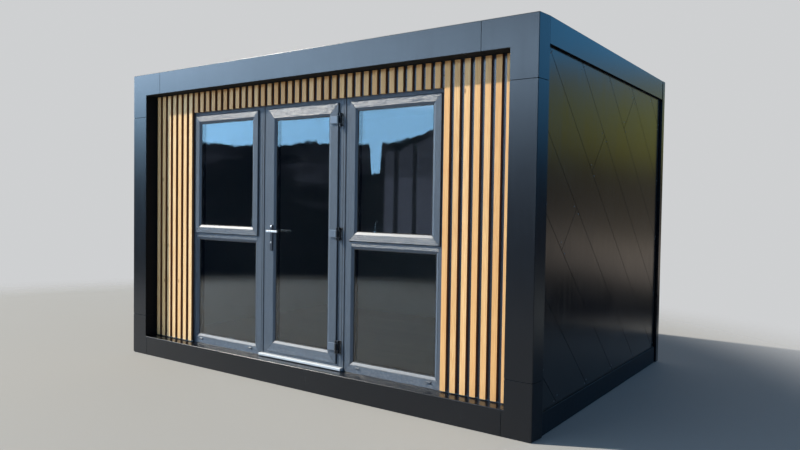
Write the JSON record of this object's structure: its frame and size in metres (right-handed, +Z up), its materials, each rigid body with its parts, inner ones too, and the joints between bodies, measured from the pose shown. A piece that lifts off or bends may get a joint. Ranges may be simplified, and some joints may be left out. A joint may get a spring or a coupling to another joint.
{
  "type": "barber pod cabin",
  "caption": "Flat-roofed garden-room style cabin pod with a projecting dark portal frame, timber-slatted front, side windows and a hinged glazed door.",
  "frame": {"origin": "centre of the footprint, on the ground", "axes": "+X to the right seen from the front, +Y to the rear, +Z up; the door side faces -Y"},
  "size_m": [4.028, 2.74, 2.55],
  "materials": {
    "portal_sheet": "satin",
    "fascia_sheet": "gloss",
    "cladding_panel": "gloss",
    "slat_timber": "satin",
    "backing_board": "matte",
    "structure_timber": "matte",
    "wall_lining": "matte",
    "floor_board": "satin",
    "roof_membrane": "matte",
    "frame_foil": "satin",
    "pane_glass": "gloss",
    "threshold_metal": "satin",
    "hinge_metal": "satin",
    "plate_metal": "satin",
    "lever_metal": "polished"
  },
  "bodies": {
    "cabin": {"base_frame": "structure_timber", "floor_deck": "floor_board", "wall_right": "wall_lining", "wall_left": "wall_lining", "wall_rear": "wall_lining", "wall_front_right": "wall_lining", "wall_front_left": "wall_lining", "wall_front_head": "wall_lining", "roof_deck": "wall_lining", "parapet_kerb": "structure_timber", "roof_membrane": "roof_membrane", "portal_frame": "structure_timber", "portal_top": "portal_sheet", "portal_sill": "portal_sheet", "portal_posts": "portal_sheet", "portal_corners": "portal_sheet", "cladding_right": "cladding_panel", "cladding_left": "cladding_panel", "cladding_rear": "cladding_panel", "fascia_right": "fascia_sheet", "fascia_left": "fascia_sheet", "fascia_rear": "fascia_sheet", "plinth_right": "fascia_sheet", "plinth_left": "fascia_sheet", "plinth_rear": "fascia_sheet", "rear_corner_trims": "fascia_sheet", "slat_backing": "backing_board", "slats_left": "slat_timber", "slats_head": "slat_timber", "slats_right": "slat_timber", "window_right_frame": "frame_foil", "window_right_sash": "frame_foil", "window_right_glass": "pane_glass", "window_left_frame": "frame_foil", "window_left_sash": "frame_foil", "window_left_glass": "pane_glass", "door_couplers": "frame_foil", "door_frame": "frame_foil", "door_threshold": "threshold_metal", "door_hinges_frame": "hinge_metal"},
    "door": {"door_leaf": "frame_foil", "door_glass": "pane_glass", "door_hinges_leaf": "hinge_metal", "door_handle_plates": "plate_metal"},
    "lever": {"door_lever": "lever_metal"}
  },
  "joints": [
    {"name": "door_hinge", "type": "hinge", "parent": "cabin", "child": "door", "pos_m": [0.378, -1.264, 1.185], "axis": [0, 0, 1], "range_deg": [0, 100]},
    {"name": "lever_turn", "type": "hinge", "parent": "door", "child": "lever", "pos_m": [-0.312, -1.251, 1.182], "axis": [0, 1, 0], "range_deg": [-30, 40], "stiffness_Nm_per_rad": 4}
  ]
}
